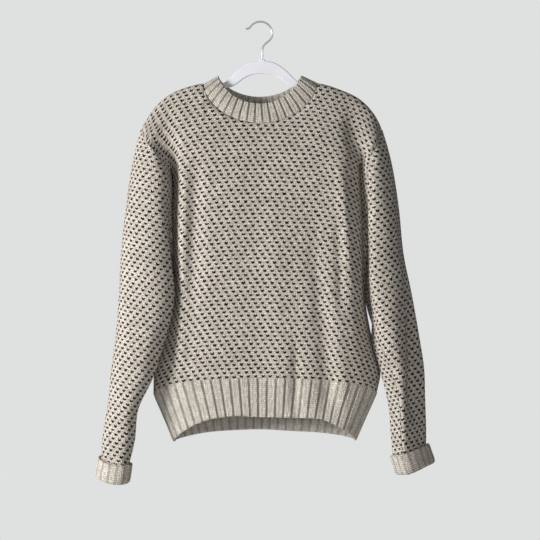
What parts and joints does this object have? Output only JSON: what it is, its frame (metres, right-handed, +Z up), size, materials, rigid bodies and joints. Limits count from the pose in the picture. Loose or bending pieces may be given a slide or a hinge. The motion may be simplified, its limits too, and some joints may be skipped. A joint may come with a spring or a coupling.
{
  "type": "knitted pullover on a clothes hanger",
  "caption": "Chunky crew-neck drop-shoulder pullover in oatmeal marl with dark fleck stitches, ribbed neck, welts and turned-up cuffs, hung on a slim hanger.",
  "frame": {"origin": "underside of the hanger's hook, where a nail or rail carries it", "axes": "+Z up, +X to the viewer's right seen from the front, +Y from the front of the pullover towards the wall behind it"},
  "size_m": [0.6236, 0.0962, 0.8485],
  "materials": {
    "marl_knit": "chunky stocking stitch in oatmeal marl wool with near-black fleck stitches",
    "marl_rib": "chunky rib in cream and olive-brown marl wool",
    "flocked_plastic": "pale flocked plastic",
    "chrome_wire": "bright chromed steel wire"
  },
  "bodies": {
    "root": {"front": "marl_knit", "back": "marl_knit", "sleeve_left": "marl_knit", "sleeve_right": "marl_knit", "hem_front": "marl_rib", "hem_back": "marl_rib", "neckband": "marl_rib", "cuff_left": "marl_rib", "cuff_right": "marl_rib", "hanger_body": "flocked_plastic", "hanger_hook": "chrome_wire"}
  },
  "joints": []
}
